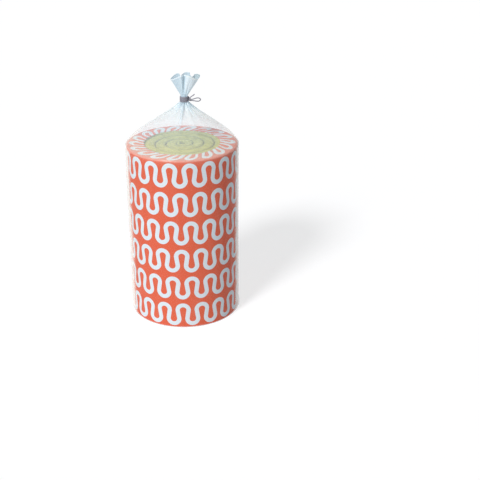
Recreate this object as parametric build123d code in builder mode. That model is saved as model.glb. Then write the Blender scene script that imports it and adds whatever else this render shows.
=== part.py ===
# A rolled insulation mat, standing on its end in a tied clear bag.
#
# Millimetres, +Z up. The origin is the middle of the bag's flat base, on the floor.
# +X is the side on which the tie's loop stands out, and -Y is the front.
import os
from math import cos, pi, radians, sin, tan

from build123d import *

os.makedirs("parts", exist_ok=True)

# Rolled mat: it stands on its width
mat_width = 1000.0
mat_thickness = 60.0
roll_radius = 308.4
roll_edge_chamfer = 6.0
eye_radius = 14.0
parting_width = 3.0
parting_depth = 9.0

# Printed film wrapper, folded over both ends of the roll
wrapper_thickness = 1.0
wrapper_fold = 98.0

# Clear film bag: round side, gathered cone, tied neck and open mouth
film_thickness = 1.0
bag_slack = 8.0
corner_steps = 2
shoulder_rise = 2.1
cone_rise = 232.0
neck_radius = 19.4
neck_offset = 17.0
neck_length = 36.0
throat_length = 14.0
throat_radius = 7.0
mouth_radius = 107.0
mouth_offset = 26.0
mouth_film_length = 125.0
mouth_wall = 1.4

# Folds of the gathered film. A fold's depth is a share of the radius of its crest, and the
# mouth's reach to the front and back is a share of its reach to the sides.
fold_count = 9
creases_per_fold = 4
neck_fold_share = 0.26
mouth_depth_share = 0.46

# Each row of the cone: its share of the rise, of the reach and its folds' depth share.
cone_shares = (
    (0.276, 0.775, 0.03),
    (0.638, 0.38, 0.03),
    (0.855, 0.14, 0.13),
)

# Tie string, wound round the neck and knotted
string_diameter = 6.0
turn_count = 5
turn_gap = 0.1
turn_flat_share = 0.45
knot_length = 12.0
knot_width = 19.0
knot_height = 22.0
knot_chamfer = 8.0
low_strand_height = 3.6
high_strand_height = 10.8
string_sides = 8
bend_run_share = 0.45

# Clearances
lay_clearance = 0.3
cut_overrun = 5.0

# Places that follow from the sizes above
wrapper_base = film_thickness + lay_clearance
roll_base = wrapper_base + wrapper_thickness + lay_clearance
roll_top = roll_base + mat_width
wrapper_radius = roll_radius + lay_clearance + wrapper_thickness
wrapper_height = mat_width + 2 * lay_clearance + 2 * wrapper_thickness
wrapper_top = wrapper_base + wrapper_height
wrapper_opening_radius = wrapper_radius - wrapper_fold
wrapper_edge_chamfer = roll_edge_chamfer + lay_clearance
bag_radius = wrapper_radius + bag_slack + film_thickness
bag_corner_radius = roll_edge_chamfer + bag_slack
shoulder_height = wrapper_top + shoulder_rise
neck_height = shoulder_height + cone_rise
neck_top = neck_height + neck_length


def parting_line(end_radius):
    """Spiral where one turn of the mat lies on the next, as half circles about two centres."""
    half_pitch = mat_thickness / 2
    radius = eye_radius
    side = 1
    start = (eye_radius - half_pitch / 2, 0)
    while radius < end_radius:
        middle = (start[0] - side * radius, side * radius)
        end = (start[0] - side * 2 * radius, 0)
        ThreePointArc(start, middle, end)
        start = end
        radius += half_pitch
        side = -side


with BuildPart() as wool_roll:
    with BuildSketch(Plane.XZ) as roll_section:
        with Locations((eye_radius, roll_base)):
            Rectangle(roll_radius - eye_radius, mat_width, align=(Align.MIN, Align.MIN))
        chamfer(roll_section.vertices().group_by(Axis.X)[-1], length=roll_edge_chamfer)
    revolve(axis=Axis.Z)
    for end_height, depth in ((roll_top, -parting_depth), (roll_base, parting_depth)):
        with BuildSketch(Plane.XY.offset(end_height)):
            with BuildLine():
                parting_line(roll_radius - mat_thickness)
            trace(line_width=parting_width)
        extrude(amount=depth, mode=Mode.SUBTRACT)


with BuildPart() as printed_wrapper:
    with BuildSketch(Plane.XZ) as wrapper_section:
        with Locations((0, wrapper_base)):
            Rectangle(wrapper_radius, wrapper_height, align=(Align.MIN, Align.MIN))
        chamfer(wrapper_section.vertices().group_by(Axis.X)[-1], length=wrapper_edge_chamfer)
        offset(amount=-wrapper_thickness, mode=Mode.SUBTRACT)
        with Locations((0, wrapper_base)):
            Rectangle(
                wrapper_opening_radius,
                wrapper_height,
                align=(Align.MIN, Align.MIN),
                mode=Mode.SUBTRACT,
            )
    revolve(axis=Axis.Z)


def side_section(inset):
    """Half the section of the bag's round side and base corner, pulled in by the inset."""
    corner = bag_corner_radius - inset
    side_top = shoulder_height - inset
    points = [(0, side_top), (0, inset)]
    for step in range(corner_steps + 1):
        angle = pi / 2 * step / corner_steps
        reach = bag_radius - inset - corner * (1 - sin(angle))
        points.append((reach, inset + corner * (1 - cos(angle))))
    points.append((bag_radius - inset, side_top))
    Polyline(*points, close=True)


def round_side(inset):
    """The round side with its base, as a solid that the gathered film stands on."""
    with BuildPart() as side:
        with BuildSketch(Plane.XZ):
            with BuildLine():
                side_section(inset)
            make_face()
        revolve(axis=Axis.Z)
    return side.part


def gathered_points(height, offset_x, radius, fold_share, depth_share):
    """Points on the creases of the film: four to each fold, on its crest, valley and sides."""
    creases = creases_per_fold * fold_count
    points = []
    for crease in range(creases):
        angle = 2 * pi * crease / creases
        reach = radius * (1 - fold_share * (1 - cos(fold_count * angle)) / 2)
        points.append((offset_x + reach * cos(angle), reach * depth_share * sin(angle), height))
    return points


def gathered_film(rows):
    """A solid with flat film between its creases, from the lowest row to the highest."""
    outlines = [gathered_points(*row) for row in rows]
    faces = [Face(Wire.make_polygon(outlines[0])), Face(Wire.make_polygon(outlines[-1]))]
    for low, high in zip(outlines, outlines[1:]):
        for crease in range(len(low)):
            here, after = crease - 1, crease
            faces.append(Face(Wire.make_polygon([low[here], low[after], high[after]])))
            faces.append(Face(Wire.make_polygon([low[here], high[after], high[here]])))
    return Solid(Shell(faces))


def cone_rows(inset):
    """The gathered cone between the shoulder and the neck, pulled in by the inset."""
    rows = [(shoulder_height - inset, 0, bag_radius - inset, 0, 1)]
    for rise_share, reach_share, fold_share in cone_shares:
        height = shoulder_height + cone_rise * rise_share
        radius = neck_radius + (bag_radius - neck_radius) * reach_share - inset
        rows.append((height, neck_offset * rise_share, radius, fold_share, 1))
    return rows


def mouth_row(inset):
    """The mouth, past the height to which its film reaches."""
    height = neck_top + mouth_film_length + cut_overrun
    return (height, mouth_offset, mouth_radius - inset, neck_fold_share, mouth_depth_share)


# The roll's space inside the bag, up to where the gathered film closes under the tie.
with BuildPart() as roll_space:
    throat_row = (neck_height - throat_length, neck_offset, throat_radius, neck_fold_share, 1)
    add(round_side(film_thickness))
    add(gathered_film(cone_rows(film_thickness) + [throat_row]))

# The open mouth above the tie.
with BuildPart() as mouth_space:
    lip_row = (neck_top + throat_length, neck_offset, throat_radius, neck_fold_share, 1)
    add(gathered_film([lip_row, mouth_row(mouth_wall)]))

with BuildPart() as clear_bag:
    neck_rows = [
        (neck_height, neck_offset, neck_radius, neck_fold_share, 1),
        (neck_top, neck_offset, neck_radius, neck_fold_share, 1),
    ]
    add(round_side(0))
    add(gathered_film(cone_rows(0) + neck_rows + [mouth_row(0)]))
    add(roll_space.part, mode=Mode.SUBTRACT)
    add(mouth_space.part, mode=Mode.SUBTRACT)
    # The film above the tie is about as long all round, so its rim lies on a ball.
    with BuildSketch(Plane((mouth_offset, 0, neck_top), x_dir=(1, 0, 0), z_dir=(0, -1, 0))):
        Rectangle(2 * mouth_radius, 2 * mouth_film_length, align=(Align.MIN, Align.MIN))
        Circle(mouth_film_length, mode=Mode.SUBTRACT)
    revolve(axis=Axis((mouth_offset, 0, 0), (0, 0, 1)), mode=Mode.SUBTRACT)


# The string's turns round the neck, with the knot against them on the +X side.
turn_pitch = string_diameter + turn_gap
turns_height = (turn_count - 1) * turn_pitch
first_turn_height = neck_height + (neck_length - turns_height) / 2
turn_radius = neck_radius + lay_clearance + string_diameter / 2
knot_start = neck_offset + turn_radius - string_diameter / 4
knot_face = knot_start + knot_length
knot_base = first_turn_height - string_diameter / 2
knot_top = knot_base + knot_height


def turns_outline():
    """Section of the wound turns: straight against the neck, one ridge for each turn."""
    string_radius = string_diameter / 2
    flat_half = string_radius * turn_flat_share
    inside = turn_radius - string_radius
    outside = turn_radius + string_radius
    base = first_turn_height - turn_pitch / 2
    points = [(inside, base), (turn_radius, base)]
    for turn in range(turn_count):
        middle = first_turn_height + turn * turn_pitch
        points.append((outside, middle - flat_half))
        points.append((outside, middle + flat_half))
        points.append((turn_radius, middle + turn_pitch / 2))
    points.append((inside, base + turn_count * turn_pitch))
    Polyline(*points, close=True)


with BuildPart() as tie_turns:
    with BuildSketch(Plane((neck_offset, 0, 0), x_dir=(1, 0, 0), z_dir=(0, -1, 0))):
        with BuildLine():
            turns_outline()
        make_face()
    revolve(axis=Axis((neck_offset, 0, 0), (0, 0, 1)))
    with BuildSketch(Plane.XZ) as knot_section:
        with Locations((knot_start, knot_base)):
            Rectangle(knot_length, knot_height, align=(Align.MIN, Align.MIN))
        chamfer(
            knot_section.vertices().group_by(Axis.Y)[-1].sort_by(Axis.X)[-1],
            length=knot_chamfer,
        )
    extrude(amount=knot_width / 2, both=True)


def bend_radii(points):
    """Radius of the arc at each inner point: as large as its two runs allow."""
    radii = []
    for before, corner, after in zip(points, points[1:], points[2:]):
        run_in = corner - before
        run_out = after - corner
        turn = run_in.get_angle(run_out)
        shorter_run = min(run_in.length, run_out.length)
        radii.append(bend_run_share * shorter_run / tan(radians(turn) / 2))
    return radii


def string_path(name, start, steps_out):
    """Straight runs joined by tangent arcs, through points given from the start."""
    points = [Vector(start) + Vector(step_out) for step_out in steps_out]
    radii = bend_radii(points)
    print(name, "bend radii", [round(radius, 1) for radius in radii])
    FilletPolyline(*points, radius=radii)


# The bow loop and the free end leave the knot's flat faces square to them. Their points
# are how far out to +X, across to the back and up they lie: the loop's from the foot of the
# knot's front face, and the end's from the middle of the knot's slanted face.
loop_start = (knot_face, 0, knot_base)
loop_steps = (
    (0, -1.5, high_strand_height),
    (11.0, -1.5, high_strand_height),
    (24.0, -3.4, 16.0),
    (38.0, -4.0, 20.6),
    (51.0, -2.4, 18.4),
    (57.5, 0, 9.6),
    (51.0, 2.4, 0.8),
    (38.0, 4.0, -1.6),
    (24.0, 3.4, 0.8),
    (11.0, 1.5, low_strand_height),
    (0, 1.5, low_strand_height),
)
end_start = (knot_face - knot_chamfer / 2, 0, knot_top - knot_chamfer / 2)
end_steps = (
    (0, 0, 0),
    (7.0, 0, 7.0),
    (17.0, -2.0, 13.2),
    (27.5, -4.5, 22.7),
)

with BuildPart() as tie_loop:
    with BuildLine() as loop_line:
        string_path("tie_loop", loop_start, loop_steps)
    with BuildSketch(Plane(loop_line.line @ 0, z_dir=loop_line.line % 0)) as loop_section:
        RegularPolygon(string_diameter / 2, string_sides)
    sweep(path=loop_line.line)

with BuildPart() as tie_end:
    with BuildLine() as end_line:
        string_path("tie_end", end_start, end_steps)
    with BuildSketch(Plane(end_line.line @ 0, z_dir=end_line.line % 0)) as end_section:
        RegularPolygon(string_diameter / 2, string_sides)
    sweep(path=end_line.line)


def print_length(name, piece, line, section):
    """Prints a string piece's length, and its volume against its section along that length."""
    length = line.wire().length
    ratio = piece.part.volume / (section.sketch.area * length)
    print(name, "length", round(length, 1), "volume ratio", round(ratio, 4))


print_length("tie_loop", tie_loop, loop_line, loop_section)
print_length("tie_end", tie_end, end_line, end_section)

pieces = {
    "wool_roll": wool_roll,
    "printed_wrapper": printed_wrapper,
    "clear_bag": clear_bag,
    "tie_turns": tie_turns,
    "tie_loop": tie_loop,
    "tie_end": tie_end,
}
for name, piece in pieces.items():
    piece.part.label = name
    export_step(piece.part, f"parts/{name}.step")
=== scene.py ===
# %% [markdown]
# # A roll of insulation in a tied clear bag
#
# The object is a mat of mineral wool, rolled up and stood on its end. A printed plastic film
# is wrapped round it and folded over both ends, and a clear bag goes over everything. The bag
# is gathered above the roll and tied with string.
#
# The solid model gives the sizes and the places. This script gives each piece its looks: the
# fibres of the wool, the pleats and the print of the wrapper, the thin clear film with its
# folds, and the twisted string.

# %% Load the frame
from functools import partial
from math import acos, atan2, cos, degrees, hypot, pi, radians, sin, tau

import bpy
import numpy as np
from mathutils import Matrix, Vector


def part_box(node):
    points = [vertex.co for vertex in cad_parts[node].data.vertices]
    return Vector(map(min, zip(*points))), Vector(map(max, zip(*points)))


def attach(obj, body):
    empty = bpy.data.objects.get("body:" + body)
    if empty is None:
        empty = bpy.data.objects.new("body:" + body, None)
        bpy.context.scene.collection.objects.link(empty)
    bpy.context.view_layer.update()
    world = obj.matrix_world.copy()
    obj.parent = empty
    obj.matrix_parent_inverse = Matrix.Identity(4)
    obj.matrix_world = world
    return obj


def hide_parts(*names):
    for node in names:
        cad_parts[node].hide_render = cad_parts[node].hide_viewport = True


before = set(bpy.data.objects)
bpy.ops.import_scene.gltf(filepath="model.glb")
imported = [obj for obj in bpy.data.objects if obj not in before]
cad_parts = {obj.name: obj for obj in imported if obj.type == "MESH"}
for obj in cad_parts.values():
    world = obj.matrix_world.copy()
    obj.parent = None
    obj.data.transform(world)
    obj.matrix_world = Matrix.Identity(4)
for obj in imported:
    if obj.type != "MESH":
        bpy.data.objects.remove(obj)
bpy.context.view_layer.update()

scene = bpy.context.scene
print("nodes:", sorted(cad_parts))

# %% [markdown]
# ## The camera
#
# The camera comes first, because every choice below is made for what it sees. It could be
# aimed with a Track To constraint, but plain numbers are easier to repeat. It stands in front
# of the roll, a little to the right, and looks down on it by about 25 degrees. The lens is
# long, so that the sides of the roll stay nearly parallel.

# %% Camera
camera_pitch = 0.428
camera_data = bpy.data.cameras.new("camera")
camera_data.lens = 74.06
camera_data.sensor_width = 36.0
camera_data.clip_end = 100.0
camera = bpy.data.objects.new("camera", camera_data)
camera.location = (0.3215, -5.223, 2.790)
camera.rotation_euler = (pi / 2 - camera_pitch, 0, 0)
scene.collection.objects.link(camera)
scene.camera = camera
print("camera looks down by", round(degrees(camera_pitch), 1), "degrees")

# %% [markdown]
# ## Helpers for nodes
#
# Materials and Geometry Nodes are both trees of nodes. A few short helpers keep the cells that
# build them readable: they add a node, set or join its inputs, and hand back its result.

# %% Node helpers
def add_node(tree, kind, inputs=None, **settings):
    """A new node with its settings, and its inputs set to values or joined to sockets."""
    node = tree.nodes.new(kind)
    for name, value in settings.items():
        setattr(node, name, value)
    for name, value in (inputs or {}).items():
        if isinstance(value, bpy.types.NodeSocket):
            tree.links.new(value, node.inputs[name])
        else:
            node.inputs[name].default_value = value
    return node


def result(tree, kind, inputs=None, **settings):
    """The first output of a new node."""
    return add_node(tree, kind, inputs, **settings).outputs[0]


def calculate(tree, operation, *values, **settings):
    """The result of a Math node for these values or sockets."""
    inputs = dict(enumerate(values))
    return result(tree, "ShaderNodeMath", inputs, operation=operation, **settings)


def map_range(tree, value, source, target, **settings):
    """A value moved from one range into another."""
    inputs = {"Value": value, "From Min": source[0], "From Max": source[1]}
    inputs.update({"To Min": target[0], "To Max": target[1]})
    return result(tree, "ShaderNodeMapRange", inputs, **settings)


def split_vector(tree, vector):
    """The three parts of a vector."""
    return tuple(add_node(tree, "ShaderNodeSeparateXYZ", {"Vector": vector}).outputs)


FLOAT = "NodeSocketFloat"
VECTOR = "NodeSocketVector"
print("node helpers ready")


# %% Group helpers
def new_group(name, kind, inputs, outputs):
    """An empty group with named sockets, what it takes in, and what it hands out."""
    group = bpy.data.node_groups.new(name, kind)
    for socket_name, socket_kind, default in inputs:
        socket = group.interface.new_socket(socket_name, in_out="INPUT", socket_type=socket_kind)
        if default is not None:
            socket.default_value = default
    for socket_name, socket_kind in outputs:
        group.interface.new_socket(socket_name, in_out="OUTPUT", socket_type=socket_kind)
    taken_in = group.nodes.new("NodeGroupInput").outputs
    handed_out = group.nodes.new("NodeGroupOutput").inputs
    return group, taken_in, handed_out


def use_group(tree, group, inputs):
    """What a group hands out when it is placed in a tree with these inputs."""
    return add_node(tree, "ShaderNodeGroup", inputs, node_tree=group).outputs


print("group helpers ready")


# %% Material helpers
def new_material(name):
    """An empty material and its tree."""
    material = bpy.data.materials.new(name)
    material.use_nodes = True
    material.node_tree.nodes.clear()
    return material, material.node_tree


def srgb(red, green, blue):
    """A colour given as it looks on a screen, from 0 to 255, as the linear values of a shader."""
    linear = [((c / 255 + 0.055) / 1.055) ** 2.4 if c > 10 else c / 255 / 12.92
              for c in (red, green, blue)]
    return (*linear, 1.0)


def mix_colours(tree, share, first, second):
    """The first colour, with this share of the second one."""
    return add_node(tree, "ShaderNodeMix", {0: share, 6: first, 7: second}, data_type="RGBA").outputs[2]


def bump(tree, height, strength, distance):
    """The normals that a height gives to the surface."""
    inputs = {"Height": height, "Strength": strength, "Distance": distance}
    return result(tree, "ShaderNodeBump", inputs)


def finish_surface(tree, inputs):
    """A Principled shader with these inputs, as the surface of a material."""
    shader = result(tree, "ShaderNodeBsdfPrincipled", inputs)
    add_node(tree, "ShaderNodeOutputMaterial", {"Surface": shader})


print("material helpers ready")

# %% [markdown]
# ## Shared effects
#
# Two effects serve more than one material, so each is a node group that is built once.
#
# Creased film: thin plastic that has been handled shows soft crinkles, long ones and short
# ones. Two noises, one stretched upright, are added up to a height for a Bump node.
#
# Fibres: wool and string are both bundles of fibre. Two noises, one fine and one coarse, give
# specks and streaks, which change the colour and the height a little.

# %% Node group: creased film
creases, creases_in, creases_out = new_group(
    "creased film",
    "ShaderNodeTree",
    [("Long scale", FLOAT, 6.0), ("Short scale", FLOAT, 24.0), ("Short share", FLOAT, 0.35)],
    [("Height", FLOAT), ("Gleam", FLOAT)],
)


def noise(tree, place, scale, detail, distortion=0.0):
    """Soft random values from 0 to 1, as a Noise Texture gives them."""
    inputs = {"Vector": place, "Scale": scale, "Detail": detail, "Distortion": distortion}
    return result(tree, "ShaderNodeTexNoise", inputs)


maths = partial(calculate, creases)
place = add_node(creases, "ShaderNodeTexCoord").outputs["Object"]
upright = result(creases, "ShaderNodeMapping", {"Vector": place, "Scale": (1.0, 1.0, 0.22)})
long_noise = noise(creases, upright, creases_in["Long scale"], 2.0, 0.6)
short_noise = noise(creases, place, creases_in["Short scale"], 3.0)
# A crinkle is sharp at its crest, so each noise is folded about its middle.
long_crest = maths("ABSOLUTE", maths("SUBTRACT", long_noise, 0.5))
short_crest = maths("ABSOLUTE", maths("SUBTRACT", short_noise, 0.5))
crest_sum = maths("MULTIPLY_ADD", short_crest, creases_in["Short share"], long_crest)
gleam = map_range(creases, long_crest, (0.0, 0.05), (1.0, 0.0), interpolation_type="SMOOTHSTEP")
creases.links.new(crest_sum, creases_out["Height"])
creases.links.new(gleam, creases_out["Gleam"])
print("group", creases.name, "has", len(creases.nodes), "nodes")

# %% Node group: fibres
fibres, fibres_in, fibres_out = new_group(
    "fibres",
    "ShaderNodeTree",
    [("Vector", VECTOR, None), ("Scale", FLOAT, 300.0), ("Detail", FLOAT, 3.0)],
    [("Shade", FLOAT), ("Height", FLOAT)],
)
maths = partial(calculate, fibres)
fine_noise = noise(fibres, fibres_in["Vector"], fibres_in["Scale"], fibres_in["Detail"], 1.2)
coarse_scale = maths("MULTIPLY", fibres_in["Scale"], 0.13)
coarse_noise = noise(fibres, fibres_in["Vector"], coarse_scale, 2.0)
shade = maths("MULTIPLY_ADD", coarse_noise, 0.5, maths("MULTIPLY", fine_noise, 0.5))
fibres.links.new(shade, fibres_out["Shade"])
fibres.links.new(fine_noise, fibres_out["Height"])
print("group", fibres.name, "has", len(fibres.nodes), "nodes")

# %% [markdown]
# ## The tie string
#
# The bag is tied with one length of twisted string. It goes nearly five times round the
# gathered neck, is wrapped round itself in a knot, goes out and back in one long bow loop, and
# ends in a short free end. A string is one flexible line, so it is one smooth NURBS spline
# through the same points as in the solid model. Only the turns and the knot are worked out by
# a loop.

# %% The string's turns and knot
string_diameter = 0.006
neck_centre_x = 0.017
turn_radius = 0.0227
turn_count = 4.75
turn_pitch = 0.00605
points_per_turn = 12
first_turn_z = 1.2404

knot_radius = 0.0068
knot_turns = 2
knot_middle_z = 1.2518
knot_first_x = 0.0428
knot_last_x = 0.0485


def turns_route():
    """The turns round the neck, from the back upwards to the knot's side."""
    route = []
    for step in range(round(turn_count * points_per_turn) + 1):
        angle = pi / 2 + tau * step / points_per_turn
        x = neck_centre_x + turn_radius * cos(angle)
        y = turn_radius * sin(angle)
        route.append((x, y, first_turn_z + turn_pitch * step / points_per_turn))
    return route


def knot_route():
    """The wraps of the knot, round the middle of the bow."""
    route = []
    steps = knot_turns * points_per_turn
    for step in range(steps + 1):
        angle = pi / 2 - tau * step / points_per_turn
        x = knot_first_x + (knot_last_x - knot_first_x) * step / steps
        route.append((x, knot_radius * cos(angle), knot_middle_z + knot_radius * sin(angle)))
    return route


print("points in the turns:", len(turns_route()), "and in the knot:", len(knot_route()))

# %% The string's whole route
# The bow loop's points leave the knot's face, run out to +X and come back under it.
loop_start = Vector((0.0502, 0, 1.2408))
loop_steps = (
    (0, -0.0015, 0.0108),
    (0.0110, -0.0015, 0.0108),
    (0.0240, -0.0034, 0.0160),
    (0.0380, -0.0040, 0.0206),
    (0.0510, -0.0024, 0.0184),
    (0.0575, 0, 0.0096),
    (0.0510, 0.0024, 0.0008),
    (0.0380, 0.0040, -0.0016),
    (0.0240, 0.0034, 0.0008),
    (0.0110, 0.0015, 0.0036),
    (0, 0.0015, 0.0036),
)
inside_knot = [(0.0440, 0.002, 1.2475), (0.0430, 0.001, 1.2535)]
end_start = Vector((0.0462, 0, 1.2588))
end_steps = (
    (0, 0, 0),
    (0.0070, 0, 0.0070),
    (0.0170, -0.0020, 0.0132),
    (0.0275, -0.0045, 0.0227),
)
route = turns_route() + knot_route()
route += [loop_start + Vector(step) for step in loop_steps]
route += inside_knot
route += [end_start + Vector(step) for step in end_steps]


def add_object(name, data):
    """A new object for a mesh, a curve or a lamp, placed in the scene."""
    piece = bpy.data.objects.new(name, data)
    scene.collection.objects.link(piece)
    return piece


def nurbs_line(name, points):
    """One smooth open spline with these points as its control points."""
    data = bpy.data.curves.new(name, "CURVE")
    data.dimensions = "3D"
    data.resolution_u = 6
    spline = data.splines.new("NURBS")
    spline.points.add(len(points) - 1)
    for control, point in zip(spline.points, points):
        control.co = (*point, 1.0)
    spline.order_u = 3
    spline.use_endpoint_u = True
    return add_object(name, data)


string_line = nurbs_line("string_line", route)
bare_mesh = bpy.data.meshes.new_from_object(string_line)
bpy.data.meshes.remove(bare_mesh)

# %% [markdown]
# ## The string's finish and its strands
#
# Plain bevel would make a smooth wire. Twine is three strands twisted together, so a Geometry
# Nodes tree sweeps a three-lobed section along the line and lets its tilt grow with the
# length. The finish is a dull grey-mauve plastic fibre with fine streaks.

# %% Material: string
string_material, tree = new_material("grey_twine")
place = add_node(tree, "ShaderNodeTexCoord").outputs["Object"]
streaks = use_group(tree, fibres, {"Vector": place, "Scale": 900.0, "Detail": 2.0})
finish_surface(
    tree,
    {
        "Base Color": mix_colours(tree, streaks["Shade"], srgb(94, 92, 103), srgb(182, 180, 193)),
        "Roughness": 0.62,
        "Sheen Weight": 0.25,
        "Normal": bump(tree, streaks["Height"], 0.35, 0.0006),
    },
)
print("material", string_material.name)

# %% Geometry Nodes helpers
GEOMETRY = "NodeSocketGeometry"
MATERIAL = "NodeSocketMaterial"


def round_section(tree, points, diameter):
    """A ring of a few points, as a profile."""
    inputs = {"Resolution": points, "Radius": calculate(tree, "MULTIPLY", diameter, 0.5)}
    return result(tree, "GeometryNodeCurvePrimitiveCircle", inputs)


def sweep(tree, line, section):
    """A closed mesh from a section that follows a line."""
    inputs = {"Curve": line, "Profile Curve": section, "Fill Caps": True}
    return result(tree, "GeometryNodeCurveToMesh", inputs)


def hand_out(tree, geometry, taken_in, handed_out):
    """Makes copies real, gives them the material, and ends the tree with them."""
    real = result(tree, "GeometryNodeRealizeInstances", {"Geometry": geometry})
    inputs = {"Geometry": real, "Material": taken_in["Material"]}
    tree.links.new(result(tree, "GeometryNodeSetMaterial", inputs), handed_out["Geometry"])
    print("tree", tree.name, "has", len(tree.nodes), "nodes")


# %% Geometry Nodes: twisted string
twist, twist_in, twist_out = new_group(
    "twisted string",
    "GeometryNodeTree",
    [
        ("Geometry", GEOMETRY, None),
        ("Diameter", FLOAT, 0.006),
        ("Lay", FLOAT, 0.016),
        ("Groove", FLOAT, 0.09),
        ("Step", FLOAT, 0.0013),
        ("Material", MATERIAL, None),
    ],
    [("Geometry", GEOMETRY)],
)
maths = partial(calculate, twist)
even_line = result(
    twist,
    "GeometryNodeResampleCurve",
    {"Curve": twist_in["Geometry"], "Length": twist_in["Step"]},
    mode="LENGTH",
)
length_along = add_node(twist, "GeometryNodeSplineParameter").outputs["Length"]
tilt = maths("MULTIPLY", maths("DIVIDE", length_along, twist_in["Lay"]), tau)
tilted = result(twist, "GeometryNodeSetCurveTilt", {"Curve": even_line, "Tilt": tilt})

section_place = result(twist, "GeometryNodeInputPosition")
x, y, _ = split_vector(twist, section_place)
lobes = maths("COSINE", maths("MULTIPLY", maths("ARCTAN2", y, x), 3.0))
# Where the cosine is low the section is pulled in, which makes the groove between strands.
pulled_in = maths("MULTIPLY", maths("SUBTRACT", lobes, 1.0), twist_in["Groove"])
lobe_reach = maths("ADD", pulled_in, 1.0)
lobed = result(
    twist, "ShaderNodeVectorMath", {0: section_place, "Scale": lobe_reach}, operation="SCALE"
)
lobed_section = result(
    twist,
    "GeometryNodeSetPosition",
    {"Geometry": round_section(twist, 18, twist_in["Diameter"]), "Position": lobed},
)
swept = sweep(twist, tilted, lobed_section)
smooth = result(twist, "GeometryNodeSetShadeSmooth", {"Geometry": swept})
hand_out(twist, smooth, twist_in, twist_out)


# %% The tie string as a mesh
def finished_mesh(piece):
    """A new mesh of the object, with what its modifiers do."""
    evaluated = piece.evaluated_get(bpy.context.evaluated_depsgraph_get())
    return bpy.data.meshes.new_from_object(evaluated)


def apply_tree(source, group, values, name):
    """A plain mesh object from a Geometry Nodes tree on the source, which is then removed."""
    modifier = source.modifiers.new(group.name, "NODES")
    modifier.node_group = group
    identifiers = {
        item.name: item.identifier for item in group.interface.items_tree if item.in_out == "INPUT"
    }
    for input_name, value in values.items():
        modifier[identifiers[input_name]] = value
    mesh = finished_mesh(source)
    mesh.name = name
    source.modifiers.remove(modifier)
    bpy.data.objects.remove(source)
    return add_object(name, mesh)


string_inputs = {"Diameter": string_diameter, "Material": string_material}
tie_string = apply_tree(string_line, twist, string_inputs, "tie_string")
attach(tie_string, "root")
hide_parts("tie_turns", "tie_loop", "tie_end")
print("tie_string has", len(tie_string.data.polygons), "faces")

# %% [markdown]
# ## Meshes from rings
#
# The mat, the wrapper and the bag are all tubes whose section changes on the way. Such a shape
# is a list of closed rings with the same number of points, and each pair of rings is joined
# by a band of four-sided faces. Working on whole rings as arrays keeps the code short.

# %% Ring helper
def rings_to_mesh(name, rings, material, last_points=(), last_faces=()):
    """A smooth mesh from rings of points, and from a few points and faces that close it.

    The faces look out of a tube whose rings go from the bottom up, and whose points run
    anticlockwise as seen from above.
    """
    rings = np.asarray(rings)
    row_count, column_count, _ = rings.shape
    here = np.arange(column_count)
    after = np.roll(here, -1)
    faces = []
    for low in range(0, (row_count - 1) * column_count, column_count):
        high = low + column_count
        faces += np.stack([low + here, low + after, high + after, high + here], axis=1).tolist()
    mesh = bpy.data.meshes.new(name)
    mesh.from_pydata(rings.reshape(-1, 3).tolist() + list(last_points), [], faces + list(last_faces))
    mesh.materials.append(material)
    mesh.polygons.foreach_set("use_smooth", [True] * len(mesh.polygons))
    mesh.update()
    return add_object(name, mesh)


print("ring helper ready")

# %% [markdown]
# ## The wound mat
#
# The roll is one long mat, wound on itself, so its end shows a spiral. It could be a cylinder
# with a painted spiral, but then nothing would catch the light. Here the mat is a real strip:
# its section, with rounded edges and a slightly crowned top, follows the same spiral as the
# parting line of the solid model. Its inner and outer ends taper, as a pressed mat's do.

# %% The mat's spiral
roll_low, roll_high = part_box("wool_roll")
roll_radius = roll_high[0]
mat_pitch = 0.060
eye_radius = 0.014
spiral_start = -0.001
half_parting = 0.0010
thinnest_mat = 0.001
end_margin = 0.03
angle_step = radians(1.6)
random = np.random.default_rng(12)


def spiral_radius(turn_angle):
    """Where the parting between two turns lies, at that angle wound on from the middle."""
    return spiral_start + mat_pitch * turn_angle / tau


first_angle = tau * (eye_radius - spiral_start) / mat_pitch
last_angle = tau * (roll_radius - spiral_start) / mat_pitch + tau
mat_angles = np.arange(first_angle + end_margin, last_angle - end_margin, angle_step)
inner_edge = np.maximum(eye_radius, spiral_radius(mat_angles - tau) + half_parting)
outer_edge = np.minimum(roll_radius, spiral_radius(mat_angles) - half_parting)
# The tapered ends stop where hardly anything of the mat is left.
is_left = outer_edge - inner_edge > thinnest_mat
mat_angles, inner_edge, outer_edge = mat_angles[is_left], inner_edge[is_left], outer_edge[is_left]
mat_width = outer_edge - inner_edge
print("the mat winds on for", round((mat_angles[-1] - mat_angles[0]) / tau, 1), "turns")

# %% The mat's uneven ends
# The section of the mat's end: share of its width, and how far the edge falls away there.
section_half = [
    (0.0, 0.0080),
    (0.025, 0.0034),
    (0.07, 0.0018),
    (0.13, 0.0009),
    (0.22, 0.0004),
    (0.33, 0.0001),
    (0.44, 0.0),
]
section_line = section_half + [(1 - share, fall) for share, fall in reversed(section_half)]
across_shares, edge_falls = np.array(section_line).T
full_fall_width = 0.03
broad_lumps, fine_lumps = 0.0012, 0.0010


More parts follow.
